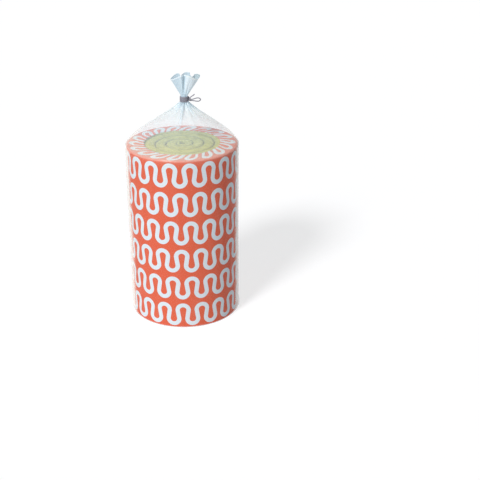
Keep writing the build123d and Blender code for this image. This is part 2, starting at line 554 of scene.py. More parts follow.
def rough_noise(shape, rows, columns):
    """Smooth unevenness from 0 to 1, as random values spread over a finer grid."""
    coarse = random.random((rows, columns))
    row_at = np.linspace(0, rows - 1.001, shape[0])
    column_at = np.linspace(0, columns - 1.001, shape[1])
    low_row, low_column = row_at.astype(int), column_at.astype(int)
    row_part = (row_at - low_row)[:, None]
    column_part = (column_at - low_column)[None, :]
    row_part = row_part ** 2 * (3 - 2 * row_part)
    column_part = column_part ** 2 * (3 - 2 * column_part)
    low_line = coarse[low_row]
    high_line = coarse[low_row + 1]
    low_side = low_line[:, low_column] * (1 - column_part) + low_line[:, low_column + 1] * column_part
    high_side = high_line[:, low_column] * (1 - column_part) + high_line[:, low_column + 1] * column_part
    return low_side * (1 - row_part) + high_side * row_part


def mat_end(height, up):
    """The uneven end of the mat at a height, as rows of points along the strip."""
    shape = (len(mat_angles), len(across_shares))
    reach = inner_edge[:, None] + mat_width[:, None] * across_shares[None, :]
    unevenness = broad_lumps * rough_noise(shape, 240, 8) + fine_lumps * rough_noise(shape, 700, 14)
    fall = edge_falls[None, :] * np.minimum(1, mat_width[:, None] / full_fall_width)
    z = height - up * (fall + unevenness)
    x = reach * np.cos(mat_angles)[:, None]
    y = reach * np.sin(mat_angles)[:, None]
    return np.stack([x, y, z], axis=2)


top_end = mat_end(roll_high[2], 1)
bottom_end = mat_end(roll_low[2], -1)
# Each ring goes out over the top and back in under the bottom, so that its faces look out.
mat_rings = np.concatenate([top_end, bottom_end[:, ::-1]], axis=1)
print("the mat's strip has", len(mat_rings), "sections of", mat_rings.shape[1], "points")

# %% [markdown]
# ## The wool's finish
#
# Mineral wool is pale yellow-green and dull, a felt of fine fibres that lie every way. The
# shared fibre group gives the fine changes of tone, and the partings between the turns are
# darker, because shadow gathers there. An attribute on the mat's points says where they are.

# %% Material: wool
wool_material, tree = new_material("mineral_wool")
place = add_node(tree, "ShaderNodeTexCoord").outputs["Object"]
felt = use_group(tree, fibres, {"Vector": place, "Scale": 260.0, "Detail": 4.0})
wool_tone = add_node(tree, "ShaderNodeValToRGB", {"Fac": felt["Shade"]})
dark_end, light_end = wool_tone.color_ramp.elements
dark_end.position, dark_end.color = 0.34, srgb(183, 183, 89)
light_end.position, light_end.color = 0.66, srgb(231, 230, 136)
# Near a parting the wool is darker: painted shade, where shadow would gather between the turns.
parting_shade = add_node(tree, "ShaderNodeAttribute", attribute_name="parting").outputs["Fac"]
wool_colour = mix_colours(tree, parting_shade, wool_tone.outputs["Color"], srgb(150, 152, 82))
finish_surface(
    tree,
    {
        "Base Color": wool_colour,
        "Roughness": 0.95,
        "Specular IOR Level": 0.15,
        "Normal": bump(tree, felt["Height"], 0.8, 0.002),
    },
)
print("material", wool_material.name)

# %% The wound mat as an object
ring_points = mat_rings.shape[1]
first_cap = list(range(ring_points))[::-1]
last_cap = [(len(mat_rings) - 1) * ring_points + column for column in range(ring_points)]
wound_mat = rings_to_mesh("wound_mat", mat_rings, wool_material, last_faces=[first_cap, last_cap])
# How strong the painted shade is across a section: strongest at the partings, which it also marks.
parting_share = np.clip(edge_falls / edge_falls.max() * 3.0, 0, 1)
parting_ring = np.concatenate([parting_share, parting_share[::-1]])
parting = wound_mat.data.attributes.new("parting", "FLOAT", "POINT")
parting.data.foreach_set("value", np.tile(parting_ring, len(mat_rings)).astype(np.float32))
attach(wound_mat, "root")
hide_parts("wool_roll")
print("wound_mat has", len(wound_mat.data.polygons), "faces")

# %% [markdown]
# ## Loose fibres on the wool
#
# A cut or pressed face of mineral wool is never clean: single fibres lie on it and stick out
# a little, every way. Bump in the material can't show their ends, so they are real, and
# Geometry Nodes scatter them. Points are spread over the faces of the mat that look up, one
# short bent curve stands on each point, and the curves become tubes with three sides. Only
# the part that shows inside the wrapper's opening gets them, and they stay off the partings,
# which would vanish under them. The attribute that darkens a parting says where that is.

# %% Geometry Nodes: where the fibres lie
scatter, scatter_in, scatter_out = new_group(
    "loose fibres",
    "GeometryNodeTree",
    [
        ("Geometry", GEOMETRY, None),
        ("Reach", FLOAT, 0.21),
        ("Lowest", FLOAT, 0.99),
        ("Parting limit", FLOAT, 0.3),
        ("Density", FLOAT, 62000.0),
        ("Length", FLOAT, 0.011),
        ("Thickness", FLOAT, 0.0004),
        ("Lift", FLOAT, 0.14),
        ("Seed", "NodeSocketInt", 5),
        ("Material", MATERIAL, None),
    ],
    [("Geometry", GEOMETRY)],
)
maths = partial(calculate, scatter)
_, _, normal_up = split_vector(scatter, result(scatter, "GeometryNodeInputNormal"))
looks_up = maths("GREATER_THAN", normal_up, 0.6)
x, y, height = split_vector(scatter, result(scatter, "GeometryNodeInputPosition"))
off_axis = maths("SQRT", maths("MULTIPLY_ADD", x, x, maths("MULTIPLY", y, y)))
in_opening = maths("LESS_THAN", off_axis, scatter_in["Reach"])
parting_here = result(
    scatter, "GeometryNodeInputNamedAttribute", {"Name": "parting"}, data_type="FLOAT"
)
off_parting = maths("LESS_THAN", parting_here, scatter_in["Parting limit"])
spots = result(
    scatter,
    "GeometryNodeDistributePointsOnFaces",
    {
        "Mesh": scatter_in["Geometry"],
        "Selection": maths("MULTIPLY", maths("MULTIPLY", looks_up, in_opening), off_parting),
        "Density": scatter_in["Density"],
        "Seed": scatter_in["Seed"],
    },
)
# The choice of faces is softened over the tall faces of the bore, so low points are dropped.
too_low = maths("LESS_THAN", height, scatter_in["Lowest"])
top_spots = result(
    scatter, "GeometryNodeDeleteGeometry", {"Geometry": spots, "Selection": too_low}, domain="POINT"
)
print("nodes that choose the spots:", len(scatter.nodes))


# %% Geometry Nodes: one fibre, and the scatter
def join_vector(tree, **parts):
    """A vector from its parts, X, Y and Z."""
    return result(tree, "ShaderNodeCombineXYZ", parts)


half_length = maths("MULTIPLY", scatter_in["Length"], 0.5)
back = maths("MULTIPLY", half_length, -1.0)
aside = maths("MULTIPLY", half_length, 0.6)
above = maths("MULTIPLY", half_length, 0.3)
fibre_line = result(
    scatter,
    "GeometryNodeCurveQuadraticBezier",
    {
        "Resolution": 4,
        "Start": join_vector(scatter, X=back),
        "Middle": join_vector(scatter, Y=aside, Z=above),
        "End": join_vector(scatter, X=half_length),
    },
)
one_fibre = sweep(scatter, fibre_line, round_section(scatter, 3, scatter_in["Thickness"]))
lift = scatter_in["Lift"]
dip = maths("MULTIPLY", lift, -1.0)
any_turn = result(
    scatter,
    "FunctionNodeRandomValue",
    {
        "Min": join_vector(scatter, X=dip, Y=dip),
        "Max": join_vector(scatter, X=lift, Y=lift, Z=tau),
        "Seed": scatter_in["Seed"],
    },
    data_type="FLOAT_VECTOR",
)
# This node's inputs 2 and 3 are the least and the most of a plain number.
any_size = add_node(
    scatter,
    "FunctionNodeRandomValue",
    {2: 0.5, 3: 1.4, "Seed": scatter_in["Seed"]},
    data_type="FLOAT",
).outputs[1]
scattered = result(
    scatter,
    "GeometryNodeInstanceOnPoints",
    {"Points": top_spots, "Instance": one_fibre, "Rotation": any_turn, "Scale": any_size},
)
hand_out(scatter, scattered, scatter_in, scatter_out)

# %% The loose fibres as a mesh
fibre_inputs = {"Reach": 0.202, "Lowest": roll_high[2] - 0.010, "Material": wool_material}
fibre_ground = add_object("fibre_ground", wound_mat.data.copy())
loose_fibres = apply_tree(fibre_ground, scatter, fibre_inputs, "loose_fibres")
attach(loose_fibres, "root")
print("loose_fibres has", len(loose_fibres.data.polygons), "faces")

# %% [markdown]
# ## The printed wrapper
#
# The wrapper is a tube of printed film round the roll, longer than the roll, with its spare
# film folded flat over each end. Film cannot shrink, so towards the opening it lies in knife
# pleats, and each pleat hides a sliver of the print. The mesh has its columns grouped by
# pleat, and its own UV map holds real lengths in metres: round the roll, and along it.

# %% The wrapper's pleats
wrapper_low, wrapper_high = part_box("printed_wrapper")
wrapper_radius = wrapper_high[0]
wrapper_foot = wrapper_low[2]
wrapper_top = wrapper_high[2]
full_height = wrapper_top - wrapper_foot
opening_radius = 0.2117
wrapper_thickness = 0.0008
pleat_count = 46
pleat_slant = radians(9)
pleat_rise = 0.0022
pleat_shares = np.array([0.0, 0.03, 0.12, 0.25, 0.40, 0.55, 0.70, 0.85, 0.95])
hem_depth = 0.004
hem_waves = 60
hem_blend = 20

# No two pleats are alike in width or in depth.
pleat_widths = 0.6 + random.random(pleat_count)
pleat_edges = np.concatenate([[0], np.cumsum(pleat_widths)]) / pleat_widths.sum() * tau
pleat_of_column = np.repeat(np.arange(pleat_count), len(pleat_shares))
share_of_column = np.tile(pleat_shares, pleat_count)
pleat_start = pleat_edges[pleat_of_column]
pleat_span = np.diff(pleat_edges)[pleat_of_column]
column_angles = pleat_start + pleat_span * share_of_column
pleat_depths = (0.5 + random.random(pleat_count))[pleat_of_column]
# The hem round the opening wavers, and it closes on itself where the columns begin and end.
hem_waver = hem_depth * (rough_noise((2, len(column_angles)), 2, hem_waves)[0] - 0.5)
hem_waver[-hem_blend:] *= np.linspace(1, 0, hem_blend)
hem_waver[:hem_blend] *= np.linspace(0, 1, hem_blend)
print("the wrapper has", len(column_angles), "columns in", pleat_count, "pleats")

# %% The wrapper's rings
wrapper_corner = 0.007
ring_steps = 12
corner_steps = 5
side_steps = 24
flat_width = wrapper_radius - wrapper_corner - opening_radius
side_height = full_height - 2 * wrapper_corner


def wrapper_profile():
    """The radius and height of each ring, and 1 where it belongs to the upper end."""
    bends = [pi / 2 * step / corner_steps for step in range(corner_steps + 1)]
    profile = [
        (opening_radius + flat_width * step / ring_steps, wrapper_foot, 0)
        for step in range(ring_steps)
    ]
    for bend in bends:
        radius = wrapper_radius - wrapper_corner * (1 - sin(bend))
        profile.append((radius, wrapper_foot + wrapper_corner * (1 - cos(bend)), 0))
    for step in range(1, side_steps):
        height = wrapper_foot + wrapper_corner + side_height * step / side_steps
        profile.append((wrapper_radius, height, 0))
    for bend in bends:
        radius = wrapper_radius - wrapper_corner * (1 - cos(bend))
        profile.append((radius, wrapper_top - wrapper_corner * (1 - sin(bend)), 1))
    for step in range(1, ring_steps + 1):
        radius = wrapper_radius - wrapper_corner - flat_width * step / ring_steps
        profile.append((radius, wrapper_top, 1))
    return np.array(profile)


def wrapper_ring(radius, height, up):
    """One ring of the wrapper. The nearer it is to the opening, the more its pleats turn."""
    inward = (wrapper_radius - radius) / (wrapper_radius - opening_radius)
    inward = min(max(inward, 0), 1)
    reach = radius - hem_waver * inward ** 3
    turned = column_angles + pleat_slant * inward ** 1.5
    lift = pleat_rise * pleat_depths * share_of_column ** 0.8 * min(1, inward * 1.15) ** 0.8
    return np.stack([reach * np.cos(turned), reach * np.sin(turned), height + up * lift], axis=1)


profile = wrapper_profile()
wrapper_rings = [wrapper_ring(*row) for row in profile]
print("the wrapper has", len(wrapper_rings), "rings of", len(column_angles), "points")

# %% [markdown]
# ## The wrapper's print
#
# The film is orange-red with a bold white print. The pattern here is a plain one: rows of
# loops, the way that drawings hatch a layer of insulation. It could be painted on an image,
# but worked out with Math nodes from the UV map it stays sharp at any distance. The loops
# repeat and mirror, so every point is first folded into one quarter of a wave. There the band
# is only an arc and a straight strand that touches it.

# %% Sizes of the print
print_rows = 6
waves_round = 18
loop_radius = 0.0310
loop_height = 0.0275
band_width = 0.0245
soft_edge = 0.00025
row_pitch = full_height / print_rows
wave_length = tau * wrapper_radius / waves_round
# The strand runs from the middle between two loops and touches the loop where they join.
strand_reach = hypot(wave_length / 4, loop_height)
join_angle = atan2(-loop_height, wave_length / 4) + acos(loop_radius / strand_reach)
join = Vector((loop_radius * cos(join_angle), loop_height + loop_radius * sin(join_angle)))
strand_way = (Vector((wave_length / 4, 0)) - join).normalized()
print("rows are", round(row_pitch, 3), "m high, and waves", round(wave_length, 3), "m long")

# %% Node group: loop print, folded into a quarter wave
loop_print, loop_in, loop_out = new_group(
    "loop print",
    "ShaderNodeTree",
    [
        ("Vector", VECTOR, None),
        ("Row pitch", FLOAT, row_pitch),
        ("Wave length", FLOAT, wave_length),
        ("Loop radius", FLOAT, loop_radius),
        ("Loop height", FLOAT, loop_height),
        ("Band width", FLOAT, band_width),
        ("Join across", FLOAT, join.x),
        ("Join up", FLOAT, join.y),
    ],
    [("Print", FLOAT)],
)
maths = partial(calculate, loop_print)
round_roll, along_roll, _ = split_vector(loop_print, loop_in["Vector"])
rows_up = maths("DIVIDE", along_roll, loop_in["Row pitch"])
row_number = maths("FLOOR", rows_up)
part_up = maths("SUBTRACT", maths("SUBTRACT", rows_up, row_number), 0.5)
off_middle = maths("MULTIPLY", part_up, loop_in["Row pitch"])
# The lower half of a row is the upper half turned over, and so moved on by half a wave.
lower_half = maths("LESS_THAN", off_middle, 0.0)
waves_along = maths("DIVIDE", round_roll, loop_in["Wave length"])
half_moves = maths("ADD", lower_half, row_number)
moved = maths("MULTIPLY_ADD", half_moves, 0.5, waves_along)
part_along = maths("SUBTRACT", maths("FRACT", moved), 0.5)
across = maths("ABSOLUTE", maths("MULTIPLY", part_along, loop_in["Wave length"]))
up = maths("ABSOLUTE", off_middle)
print("nodes that fold the pattern:", len(loop_print.nodes))

# %% Node group: loop print, the band
above_centre = maths("SUBTRACT", up, loop_in["Loop height"])
squares = maths("MULTIPLY_ADD", across, across, maths("MULTIPLY", above_centre, above_centre))
off_loop = maths("ABSOLUTE", maths("SUBTRACT", maths("SQRT", squares), loop_in["Loop radius"]))
past_join_x = maths("SUBTRACT", across, loop_in["Join across"])
past_join_y = maths("SUBTRACT", up, loop_in["Join up"])
along_strand = maths(
    "ADD", maths("MULTIPLY", past_join_x, strand_way.x), maths("MULTIPLY", past_join_y, strand_way.y)
)
beside_strand = maths(
    "SUBTRACT",
    maths("MULTIPLY", past_join_x, strand_way.y),
    maths("MULTIPLY", past_join_y, strand_way.x),
)
off_strand = maths("ABSOLUTE", beside_strand)
on_loop = maths("LESS_THAN", along_strand, 0.0)
nearer_loop = maths("MULTIPLY", on_loop, maths("SUBTRACT", off_loop, off_strand))
off_band = maths("ADD", off_strand, nearer_loop)
past_edge = maths("SUBTRACT", off_band, maths("MULTIPLY", loop_in["Band width"], 0.5))
# The edge of the ink is soft over half a millimetre.
inked = map_range(loop_print, past_edge, (-soft_edge, soft_edge), (1.0, 0.0))
loop_print.links.new(inked, loop_out["Print"])
print("group", loop_print.name, "has", len(loop_print.nodes), "nodes")

# %% Material: printed film
print_material, tree = new_material("orange_print_film")
print_map = result(tree, "ShaderNodeUVMap", uv_map="print")
pattern = use_group(tree, loop_print, {"Vector": print_map})
crinkles = use_group(tree, creases, {"Long scale": 5.0, "Short scale": 30.0, "Short share": 0.3})
finish_surface(
    tree,
    {
        "Base Color": mix_colours(tree, pattern["Print"], srgb(225, 98, 66), srgb(222, 235, 243)),
        "Roughness": map_range(tree, crinkles["Gleam"], (0.0, 1.0), (0.42, 0.34)),
        "Specular IOR Level": 0.2,
        "Normal": bump(tree, crinkles["Height"], 0.12, 0.004),
    },
)
print("material", print_material.name)

# %% The printed wrapper's mesh and its UV map
film_wrapper = rings_to_mesh("film_wrapper", wrapper_rings, print_material)
ring_radius, ring_height, upper_end = profile.T
# Below, the print's length grows towards the side, and at the upper end on past it.
folded = np.where(upper_end == 1, wrapper_radius - ring_radius, ring_radius - wrapper_radius)
ring_length = ring_height - wrapper_foot + folded
share_next = np.roll(share_of_column, -1)
share_next[share_next == 0] = 1.0
corners = ((0, share_of_column), (0, share_next), (1, share_next), (1, share_of_column))
uv_values = np.zeros((len(profile) - 1, len(column_angles), len(corners), 2))
for corner, (row_up, share) in enumerate(corners):
    rows = slice(row_up, len(profile) - 1 + row_up)
    uv_values[:, :, corner, 0] = (
        pleat_start * wrapper_radius + pleat_span * share * ring_radius[rows, None]
    )
    uv_values[:, :, corner, 1] = ring_length[rows, None]
print_uv = film_wrapper.data.uv_layers.new(name="print")
print_uv.data.foreach_set("uv", uv_values.ravel())
print("the print is", round(np.ptp(ring_length), 3), "m long, folds included")


# %% The printed wrapper as an object
def give_thickness(piece, thickness):
    """Walls of that thickness inside the surface, as a modifier that is applied at once."""
    modifier = piece.modifiers.new("thickness", "SOLIDIFY")
    modifier.thickness = thickness
    modifier.offset = -1
    modifier.use_rim = True
    thick = finished_mesh(piece)
    piece.modifiers.remove(modifier)
    thin = piece.data
    piece.data = thick
    thick.name = piece.name
    bpy.data.meshes.remove(thin)


give_thickness(film_wrapper, wrapper_thickness)
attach(film_wrapper, "root")
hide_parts("printed_wrapper")

# %% [markdown]
# ## The clear bag
#
# The bag is one tube of thin clear film, closed at the bottom. It stands loosely round the
# roll, turns in over the top edge, is drawn up into a cone and bunched by the string. Above
# the string it opens again into a fan of stiff folds. Cloth simulation could gather it, but
# film keeps its length and makes sharp, straight folds, which a rule says better: each ring
# is a round outline, drawn in between folds whose depth and width change with the height.

# %% The bag's sizes and its folds
_, bag_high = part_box("clear_bag")
bag_radius = bag_high[0]
bag_columns = 416
bag_angles = tau * np.arange(bag_columns) / bag_columns
base_corner = 0.014
shoulder_z = 1.006
neck_base_z = 1.238
neck_top_z = 1.274
neck_radius = 0.0192
film_thickness = 0.0004

# Crests of the folds in the cone, as angles from +X. The front of the bag is at 270.
cone_crests = [12, 38, 61, 88, 113, 140, 168, 196, 219, 241, 268, 297, 320, 343]
# The bays beside a crest are from 0.7 to 1.3 times as deep as the cone's usual depth there.
crest_depths = 0.7 + 0.6 * random.random(len(cone_crests))
crest_depths = np.append(crest_depths, crest_depths[0])
crest_edges = np.radians(cone_crests)
crest_edges = np.append(crest_edges, crest_edges[0] + tau)
# Between two crests the film sinks into a smooth bay.
angle_on = np.where(bag_angles < crest_edges[0], bag_angles + tau, bag_angles)
bay = np.searchsorted(crest_edges, angle_on, side="right") - 1
bay = np.clip(bay, 0, len(cone_crests) - 1)
along = (angle_on - crest_edges[bay]) / (crest_edges[bay + 1] - crest_edges[bay])
bay_depth = crest_depths[bay] * (1 - along) + crest_depths[bay + 1] * along
cone_valley = bay_depth * np.sin(pi * along) ** 0.8
print("the cone has", len(cone_crests), "crests")

# %% The ridges under the tie
# Ridges of doubled film that run down from the tie: angle, width at the tie and at the
# tip, height at the tie, and the share of the cone that they reach down.
front_ridges = [
    (265, 0.026, 0.009, 0.0070, 0.44),
    (232, 0.016, 0.007, 0.0050, 0.22),
    (312, 0.016, 0.007, 0.0050, 0.26),
    (205, 0.012, 0.006, 0.0035, 0.16),
    (338, 0.012, 0.006, 0.0035, 0.18),
]
other_ridges = [
    (angle, 0.014 + 0.006 * a, 0.007, 0.004 + 0.003 * b, 0.18 + 0.26 * c)
    for angle, (a, b, c) in zip((8, 33, 57, 84, 110, 135, 161, 190), random.random((8, 3)))
]
# Reaches to the side, in half widths of a ridge: of its swell, and of its doubled film.
swell_reach, doubled_reach = 1.15, 1.6


def ridges_at(down, radius):
    """How far ridges stand out of the cone, and how doubled its film is, at each column."""
    outward = np.zeros(bag_columns)
    doubled = np.zeros(bag_columns)
    for ridge_angle, tie_width, tip_width, ridge_height, reach_down in front_ridges + other_ridges:
        along = down / reach_down
        if along < 1:
            width = tie_width + (tip_width - tie_width) * along
            off_angle = (bag_angles - radians(ridge_angle) + pi) % tau - pi
            off = np.abs(off_angle) * radius / (width / 2)
            outward += np.clip(swell_reach - off, 0, 1) ** 0.7 * ridge_height * (1 - along ** 2)
            doubled += np.clip(doubled_reach - off, 0, 1) * (1 - along ** 3)
    return outward, np.clip(doubled, 0, 1)


print("the cone has", len(front_ridges + other_ridges), "ridges")

# %% The bag's base and side
bag_rings = []
bag_haze = []
bag_tint_and_shade = []
side_haze = 0.010
corner_haze = 0.28
corner_tint = 0.1
floor_gap = 0.0002
least_slack, usual_slack, most_slack = 0.0002, 0.0030, 0.0074
slack_swing = 0.0022
side_top = shoulder_z - 0.012
side_rows = 34
corner_rows = 5


def keep_ring(x, y, z, haze, tint_and_shade):
    """Keeps one ring of the bag, with how milky its film is, and its tint, which is blue-grey and
    painted shade.
    """
    ones = np.ones(bag_columns)
    bag_rings.append(np.stack([x * ones, y * ones, z * ones], axis=1))
    bag_haze.append(haze * ones)
    bag_tint_and_shade.append(tint_and_shade * ones)


def keep_round_ring(centre_x, reach, z, haze, tint_and_shade):
    """Keeps a ring whose points have this reach from an upright line."""
    x = centre_x + reach * np.cos(bag_angles)
    keep_ring(x, reach * np.sin(bag_angles), z, haze, tint_and_shade)


for share in (0.12, 0.35, 0.6, 0.82):
    keep_round_ring(0, (bag_radius - base_corner) * share, floor_gap, side_haze, 0.0)
for step in range(corner_rows + 1):
    bend = pi / 2 * step / corner_rows
    reach = bag_radius - base_corner * (1 - sin(bend)) - 2 * least_slack
    z = base_corner * (1 - cos(bend))
    keep_round_ring(0, reach, z, side_haze + corner_haze * sin(2 * bend), corner_tint)

slack_folds = (
    0.55 * np.sin(3 * bag_angles + 1.0)
    + 0.35 * np.sin(7 * bag_angles + 0.4)
    + 0.30 * np.sin(13 * bag_angles + 2.2)
)
for step in range(1, side_rows):
    share = step / side_rows
    z = base_corner + (side_top - base_corner) * share
    swell = sin(pi * share) ** 0.5
    drift = np.sin(2 * bag_angles + 5 * share) * 0.5 + np.sin(5 * bag_angles - 9 * share + 1) * 0.3
    slack = usual_slack + slack_swing * (slack_folds * (0.4 + 0.6 * swell) + drift * swell)
    reach = bag_radius - np.clip(slack, least_slack, most_slack)
    keep_round_ring(0, reach, z, side_haze, 0.0)
print("rings up to the shoulder:", len(bag_rings))


# %% The bag's cone
def between(before, start, end, after, t):
    """The smooth way from start to end at the share t, with the points before and after."""
    return 0.5 * (
        2 * start
        + (end - before) * t
        + (2 * before - 5 * start + 4 * end - after) * t ** 2
        + (3 * start - before - 3 * end + after) * t ** 3
    )


def smooth_through(rows, steps):
    """Rows of values run through smoothly, with that many steps between each two."""
    rows = np.asarray(rows, float)
    ends = np.vstack([2 * rows[0] - rows[1], rows, 2 * rows[-1] - rows[-2]])
    line = [
        between(*ends[row: row + 4], step / steps[row])
        for row in range(len(rows) - 1)
        for step in range(steps[row])
    ]
    return np.array(line + [rows[-1]])


# Height, middle and radius of the cone, from the shoulder to the tie.
cone_rows = [
    (0.9970, 0.0000, 0.3165),
    (1.0100, 0.0003, 0.3100),
    (1.0700, 0.0047, 0.2516),
    (1.1540, 0.0108, 0.1338),
    (1.2044, 0.0145, 0.0622),
    (1.2380, 0.0170, 0.0203),
]
# How deep the bays are at a radius, and how milky and blue-grey the film is at a height.
depth_radii = (0.0203, 0.0622, 0.1338, 0.2516, 0.31)
depth_values = (0.0075, 0.0085, 0.0065, 0.0030, 0.0006)
haze_heights = (0.998, 1.004, 1.05, 1.085, 1.14, 1.20, 1.238)
haze_values = (0.04, 0.18, 0.17, 0.18, 0.20, 0.25, 0.45)
tint_heights = (1.0, 1.05, 1.10, 1.19, 1.238)
tint_values = (0.0, 0.0, 0.34, 0.32, 0.42)
# A ridge stands out at right angles to the slope, except close to the tie, and a bay sags.
slope_out, slope_up = 0.60, 0.80
upright_radius = 0.06
bay_sag = 0.3
doubled_haze, doubled_tint = 0.22, 0.35

for z, centre_x, radius in smooth_through(cone_rows, (3, 10, 12, 9, 8)):
    down = max(0.0, (neck_base_z - z) / (neck_base_z - shoulder_z))
    inward = np.interp(radius, depth_radii, depth_values) * cone_valley
    outward, doubled = ridges_at(down, radius)
    reach = radius - inward + outward * slope_out
    height = z + outward * slope_up * min(1, radius / upright_radius) - inward * bay_sag
    haze = np.interp(z, haze_heights, haze_values) + doubled_haze * doubled
    tint_and_shade = np.interp(z, tint_heights, tint_values) + doubled_tint * doubled
    keep_round_ring(centre_x, reach, height, haze, tint_and_shade)
print("rings up to the tie:", len(bag_rings))

# %% [markdown]
# ## The mouth of the bag
#
# Above the tie the film fans out into a few broad lobes with pleats between them. Its rim is
# the shape that everyone sees, so it is drawn as one closed line of points, which runs from
# the right corner round the back to the left corner and home along the front. The film is
# straight from the neck to the rim. Each point also says how blue-grey the film is there,
# because a pleat that is doubled looks darker, and a pleat that is turned away from the light
# gets painted shade.

# %% The rim of the mouth
# The points go round the back, then round the front: x, y, z and tint. The tint is partly painted shade,
# high where a pleat is turned from the light.
back_rim = [
    (0.106, 0.000, 1.382, 0.62),
    (0.101, 0.012, 1.386, 0.60),
    (0.087, 0.022, 1.387, 0.56),
    (0.075, 0.024, 1.384, 0.60),
    (0.063, -0.008, 1.379, 0.80),
    (0.051, 0.014, 1.385, 0.66),
    (0.050, 0.030, 1.391, 0.58),
    (0.036, 0.035, 1.393, 0.54),
    (0.020, 0.033, 1.391, 0.58),
    (0.007, 0.020, 1.384, 0.66),
    (0.002, -0.009, 1.382, 0.80),
    (-0.005, 0.018, 1.385, 0.62),
    (-0.015, 0.027, 1.389, 0.56),
    (-0.031, 0.024, 1.384, 0.56),
    (-0.047, 0.010, 1.373, 0.62),
]
front_rim = [
    (-0.055, -0.004, 1.365, 0.68),
    (-0.045, -0.016, 1.367, 0.64),
    (-0.026, -0.027, 1.377, 0.66),
    (-0.004, -0.033, 1.387, 0.50),
    (0.009, -0.031, 1.391, 0.62),
    (0.020, -0.010, 1.390, 0.92),
    (0.031, -0.029, 1.393, 0.30),
    (0.045, -0.036, 1.391, 0.24),
    (0.066, -0.033, 1.381, 0.24),
    (0.088, -0.020, 1.369, 0.28),
    (0.101, -0.008, 1.373, 0.40),
]
back_edges = np.linspace(0, pi, len(back_rim) + 1)
front_edges = np.linspace(pi, tau, len(front_rim) + 1)
rim_edges = np.concatenate([back_edges, front_edges[1:]])


def closed_line_at(points, edges, angles):
    """Values on a smooth closed line through points that sit at these angles."""
    points = np.asarray(points)
    count = len(points)
    span = np.clip(np.searchsorted(edges, angles, side="right") - 1, 0, count - 1)
    t = ((angles - edges[span]) / (edges[span + 1] - edges[span]))[:, None]
    four_points = [points[(span + step) % count] for step in (-1, 0, 1, 2)]
    return between(*four_points, t)


rim_line = closed_line_at(back_rim + front_rim, rim_edges, bag_angles)
rim_x, rim_y, rim_z, rim_tint_and_shade = rim_line.T
rim_lengths = np.linalg.norm(rim_line[:, :3] - np.array([0.020, 0, neck_top_z]), axis=1)
shortest, longest = rim_lengths.min().round(3), rim_lengths.max().round(3)
print("the film above the tie is", shortest, "to", longest, "m long")

# %% The bag's neck and mouth
neck_heights = (1.2425, 1.250, 1.258, 1.266, 1.272)
deepest_fold = 0.42
neck_haze, neck_tint = 0.75, 0.70
mouth_start_z = neck_top_z + 0.0005
mouth_start_tint = 0.64
# The rim's own tints hold from this share of the way up.
full_tint_share = 1 / 2.4
# At its very edge the rim is denser, and its tint is cut down there, which paints a highlight.
rim_edge_haze, rim_highlight_tint = 0.85, 0.35
# The neck is bunched into deep narrow folds.
neck_folds = 0.30 * (1 - np.abs(np.sin(7 * bag_angles + 0.3)) ** 0.8) + 0.10 * np.sin(5 * bag_angles)
neck_reach = neck_radius * (1 - np.clip(neck_folds, 0, deepest_fold))
neck_x = neck_centre_x + neck_reach * np.cos(bag_angles)
neck_y = neck_reach * np.sin(bag_angles)
for z in neck_heights:
    keep_ring(neck_x, neck_y, z, neck_haze, neck_tint)

fine_folds = 0.012 * np.sin(17 * bag_angles + 0.7) + 0.008 * np.sin(29 * bag_angles + 2.0)
# Near the rim the rows come closer, because a narrow edge there is paler than the rest: a painted
# highlight.
mouth_shares = list(np.linspace(0, 0.94, 22)) + [0.955, 0.98, 1.0]
highlight_edge_share = 0.95
for share in mouth_shares:
    flute = 1 + fine_folds * sin(pi * share) * (0.4 + 0.6 * share)
    x = neck_x + (rim_x - neck_x) * share * flute
    y = neck_y + (rim_y - neck_y) * share * flute
    z = mouth_start_z + (rim_z - neck_top_z) * share
    tint_and_shade = mouth_start_tint + (rim_tint_and_shade - mouth_start_tint) * min(1, share / full_tint_share)
    if share > highlight_edge_share:
        keep_ring(x, y, z, rim_edge_haze, tint_and_shade * rim_highlight_tint)
    else:
        keep_ring(x, y, z, 0.78 - 0.10 * share, tint_and_shade)
print("rings in all:", len(bag_rings))

# %% [markdown]
# ## The clear film's finish
#
# Thin film lets the light through, but it is never quite invisible. Where it is doubled or
# gathered it turns milky, and where it is bunched it looks blue-grey. Two values, kept with
# every ring, go on the mesh's points as attributes and carry this: haze drives the alpha and
# tint the colour. The tint also paints shade where a pleat is turned from the light and inside
# the mouth, and a highlight along the rim. Layer Weight makes the film denser where it is seen
# along its surface, as on the outline of the bag.

# %% Material: clear film, how dense it is
clear_material, tree = new_material("milky_clear_film")
maths = partial(calculate, tree)
haze_value = add_node(tree, "ShaderNodeAttribute", attribute_name="haze").outputs["Fac"]
crinkles = use_group(tree, creases, {"Long scale": 7.0, "Short scale": 38.0, "Short share": 0.45})
edge_on = add_node(tree, "ShaderNodeLayerWeight", {"Blend": 0.12}).outputs["Facing"]
# Clear film is denser in a narrow line along the outline. Milky film shows its outline anyway.
outline = map_range(tree, edge_on, (0.19, 0.31), (0.0, 0.42), interpolation_type="SMOOTHSTEP")
clear_share = map_range(tree, haze_value, (0.03, 0.20), (1.0, 0.1))
# Crinkle crests are made a little denser: a painted gleam.
haze_and_gleam_alpha = maths("MULTIPLY_ADD", crinkles["Gleam"], 0.008, haze_value)
seen_alpha = maths("MULTIPLY_ADD", outline, clear_share, haze_and_gleam_alpha, use_clamp=True)
# Milky film scatters most of the light onwards, so it shades what is behind it only a little.
is_shadow = add_node(tree, "ShaderNodeLightPath").outputs["Is Shadow Ray"]
less_alpha = maths("SUBTRACT", maths("MULTIPLY", seen_alpha, seen_alpha), seen_alpha)
film_alpha = maths("MULTIPLY_ADD", is_shadow, less_alpha, seen_alpha)
print("nodes that set the density:", len(tree.nodes))

